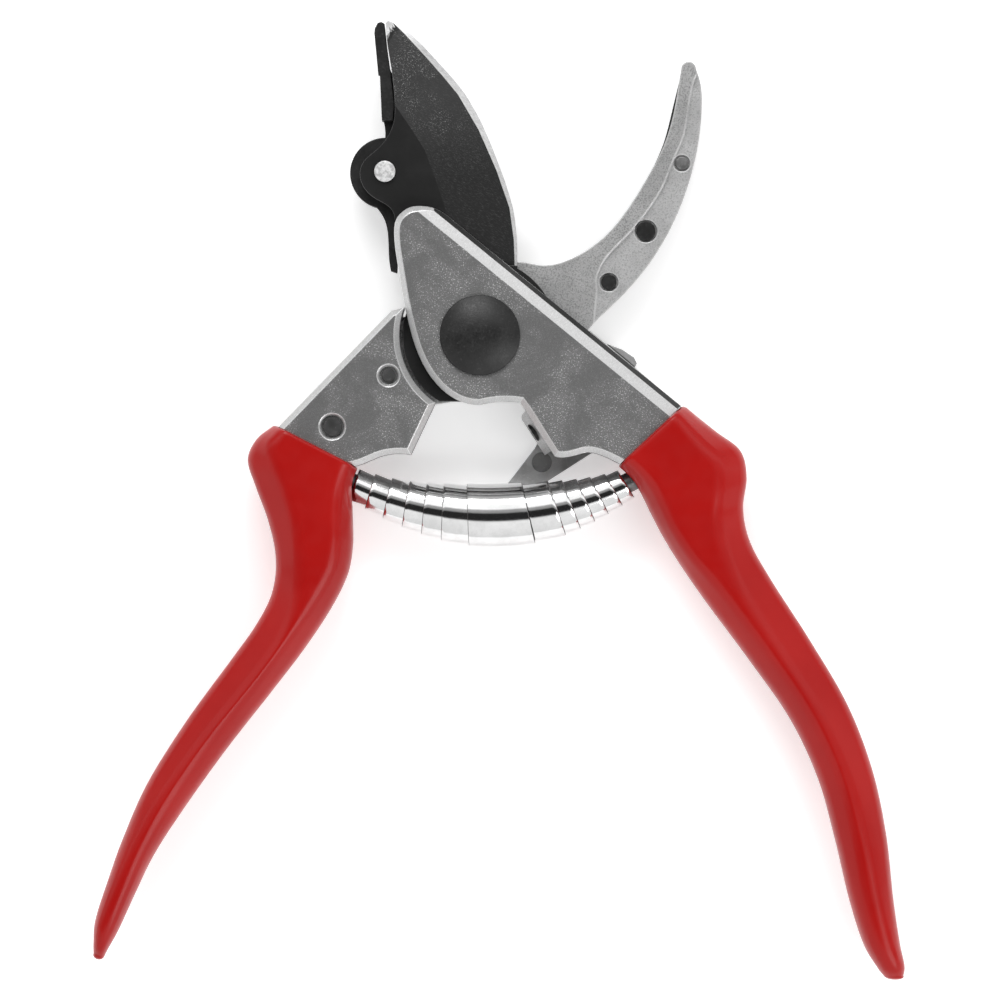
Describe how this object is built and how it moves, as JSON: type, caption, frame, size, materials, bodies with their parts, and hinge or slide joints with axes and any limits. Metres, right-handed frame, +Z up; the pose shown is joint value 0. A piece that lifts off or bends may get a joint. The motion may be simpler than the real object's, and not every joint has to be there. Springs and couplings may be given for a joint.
{
  "type": "cut-and-hold bypass pruning shears",
  "caption": "Bypass pruner lying open: hinged curved blade over a hooked counter-blade, sprung holder, double volute spring, lock lever and dipped grips.",
  "frame": {"origin": "on the resting plane, on the pivot bolt's axis", "axes": "+Z up out of the front of the tool along the pivot axis, +Y towards the blade tip, +X towards the blade-side handle"},
  "size_m": [0.1622, 0.1913, 0.0189],
  "materials": {
    "forged_aluminium": "grey tumbled forging with bright worn rims",
    "red_vinyl": "glossy dipped vinyl",
    "blade_steel": "near-black speckled non-stick coating, bright ground edge",
    "hook_steel": "granular silver steel",
    "spring_steel": "bright plated strip",
    "black_steel": "black oxide, satin",
    "dark_steel": "dark, worn rivet ends",
    "zinc_steel": "zinc plated",
    "rivet_chrome": "polished",
    "black_rubber": "matte",
    "bronze": "plain bearing bronze",
    "lever_steel": "mid-grey granular steel"
  },
  "bodies": {
    "hook_side": {"hook_handle": "forged_aluminium", "hook_grip": "red_vinyl", "counter_blade": "hook_steel", "hook_rivet": "dark_steel", "stud_rivet": "dark_steel", "grip_pad": "black_rubber", "pad_rivets": "black_steel", "pad_pin": "zinc_steel", "pivot_bush": "bronze", "spring_peg_left": "zinc_steel"},
    "blade_side": {"blade_handle": "forged_aluminium", "blade_grip": "red_vinyl", "blade": "blade_steel", "blade_dowel": "zinc_steel", "pivot_bolt": "black_steel", "pivot_washer": "zinc_steel", "pivot_nut": "zinc_steel", "stop_block": "hook_steel", "stop_screw": "black_steel", "spring_peg_right": "zinc_steel", "holder_rivet": "rivet_chrome", "lock_pivot": "zinc_steel"},
    "holder": {"holder_plate": "black_steel"},
    "lock": {"lock_lever": "lever_steel", "lock_pin": "zinc_steel"},
    "spring_middle": {"spring_middle": "spring_steel"},
    "spring_turn_left_1": {"spring_turn_left_1": "spring_steel"},
    "spring_turn_left_2": {"spring_turn_left_2": "spring_steel"},
    "spring_turn_left_3": {"spring_turn_left_3": "spring_steel"},
    "spring_turn_left_4": {"spring_turn_left_4": "spring_steel"},
    "spring_turn_left_5": {"spring_turn_left_5": "spring_steel"},
    "spring_turn_left_6": {"spring_turn_left_6": "spring_steel"},
    "spring_turn_right_1": {"spring_turn_right_1": "spring_steel"},
    "spring_turn_right_2": {"spring_turn_right_2": "spring_steel"},
    "spring_turn_right_3": {"spring_turn_right_3": "spring_steel"},
    "spring_turn_right_4": {"spring_turn_right_4": "spring_steel"},
    "spring_turn_right_5": {"spring_turn_right_5": "spring_steel"},
    "spring_turn_right_6": {"spring_turn_right_6": "spring_steel"}
  },
  "joints": [
    {"name": "handles_close", "type": "hinge", "parent": "hook_side", "child": "blade_side", "pos_m": [0, 0, 0.009], "axis": [0, 0, -1], "range_deg": [0, 58], "stiffness_Nm_per_rad": 0.6, "springref_deg": -12.03},
    {"name": "holder_yield", "type": "hinge", "parent": "blade_side", "child": "holder", "pos_m": [-0.019, 0.0328, 0.007], "axis": [0, 0, 1], "range_deg": [0, 10], "stiffness_Nm_per_rad": 0.2, "springref_deg": -5.16},
    {"name": "lock_turn", "type": "hinge", "parent": "blade_side", "child": "lock", "pos_m": [0.0205, -0.0205, 0.0007], "axis": [0, 0, -1], "range_deg": [0, 8]},
    {"name": "spring_middle_follow", "type": "hinge", "parent": "hook_side", "child": "spring_middle", "pos_m": [-0.00617, -0.00503, 0.0089], "axis": [0, 0, -1], "range_deg": [0, 36.28]},
    {"name": "spring_turn_left_1_follow", "type": "hinge", "parent": "hook_side", "child": "spring_turn_left_1", "pos_m": [-0.0083, -0.0056, 0.0089], "axis": [0, 0, -1], "range_deg": [0, 28.84]},
    {"name": "spring_turn_left_2_follow", "type": "hinge", "parent": "hook_side", "child": "spring_turn_left_2", "pos_m": [-0.01042, -0.00865, 0.0089], "axis": [0, 0, -1], "range_deg": [0, 25.38]},
    {"name": "spring_turn_left_3_follow", "type": "hinge", "parent": "hook_side", "child": "spring_turn_left_3", "pos_m": [-0.01302, -0.01244, 0.0089], "axis": [0, 0, -1], "range_deg": [0, 21.93]},
    {"name": "spring_turn_left_4_follow", "type": "hinge", "parent": "hook_side", "child": "spring_turn_left_4", "pos_m": [-0.01683, -0.0183, 0.0089], "axis": [0, 0, -1], "range_deg": [0, 18.38]},
    {"name": "spring_turn_left_5_follow", "type": "hinge", "parent": "hook_side", "child": "spring_turn_left_5", "pos_m": [-0.02033, -0.02308, 0.0089], "axis": [0, 0, -1], "range_deg": [0, 14.97]},
    {"name": "spring_turn_left_6_follow", "type": "hinge", "parent": "hook_side", "child": "spring_turn_left_6", "pos_m": [-0.02488, -0.0298, 0.0089], "axis": [0, 0, -1], "range_deg": [0, 11.75]},
    {"name": "spring_turn_right_1_follow", "type": "hinge", "parent": "hook_side", "child": "spring_turn_right_1", "pos_m": [-0.00388, -0.00428, 0.0089], "axis": [0, 0, -1], "range_deg": [0, 44.37]},
    {"name": "spring_turn_right_2_follow", "type": "hinge", "parent": "hook_side", "child": "spring_turn_right_2", "pos_m": [-0.00295, -0.00318, 0.0089], "axis": [0, 0, -1], "range_deg": [0, 47.13]},
    {"name": "spring_turn_right_3_follow", "type": "hinge", "parent": "hook_side", "child": "spring_turn_right_3", "pos_m": [-0.0021, -0.0022, 0.0089], "axis": [0, 0, -1], "range_deg": [0, 49.9]},
    {"name": "spring_turn_right_4_follow", "type": "hinge", "parent": "hook_side", "child": "spring_turn_right_4", "pos_m": [-0.00133, -0.00136, 0.0089], "axis": [0, 0, -1], "range_deg": [0, 52.57]},
    {"name": "spring_turn_right_5_follow", "type": "hinge", "parent": "hook_side", "child": "spring_turn_right_5", "pos_m": [-0.00057, -0.00052, 0.0089], "axis": [0, 0, -1], "range_deg": [0, 55.42]},
    {"name": "spring_turn_right_6_follow", "type": "hinge", "parent": "hook_side", "child": "spring_turn_right_6", "pos_m": [0.00005, 0.0001, 0.0089], "axis": [0, 0, -1], "range_deg": [0, 57.91]}
  ],
  "couplings": [
    {"joint": "spring_middle_follow", "follows": "handles_close", "ratio": 0.62467},
    {"joint": "spring_turn_left_1_follow", "follows": "handles_close", "ratio": 0.49636},
    {"joint": "spring_turn_left_2_follow", "follows": "handles_close", "ratio": 0.4368},
    {"joint": "spring_turn_left_3_follow", "follows": "handles_close", "ratio": 0.37724},
    {"joint": "spring_turn_left_4_follow", "follows": "handles_close", "ratio": 0.3161},
    {"joint": "spring_turn_left_5_follow", "follows": "handles_close", "ratio": 0.25733},
    {"joint": "spring_turn_left_6_follow", "follows": "handles_close", "ratio": 0.20175},
    {"joint": "spring_turn_right_1_follow", "follows": "handles_close", "ratio": 0.7641},
    {"joint": "spring_turn_right_2_follow", "follows": "handles_close", "ratio": 0.81175},
    {"joint": "spring_turn_right_3_follow", "follows": "handles_close", "ratio": 0.8594},
    {"joint": "spring_turn_right_4_follow", "follows": "handles_close", "ratio": 0.90545},
    {"joint": "spring_turn_right_5_follow", "follows": "handles_close", "ratio": 0.95469},
    {"joint": "spring_turn_right_6_follow", "follows": "handles_close", "ratio": 0.99757}
  ]
}
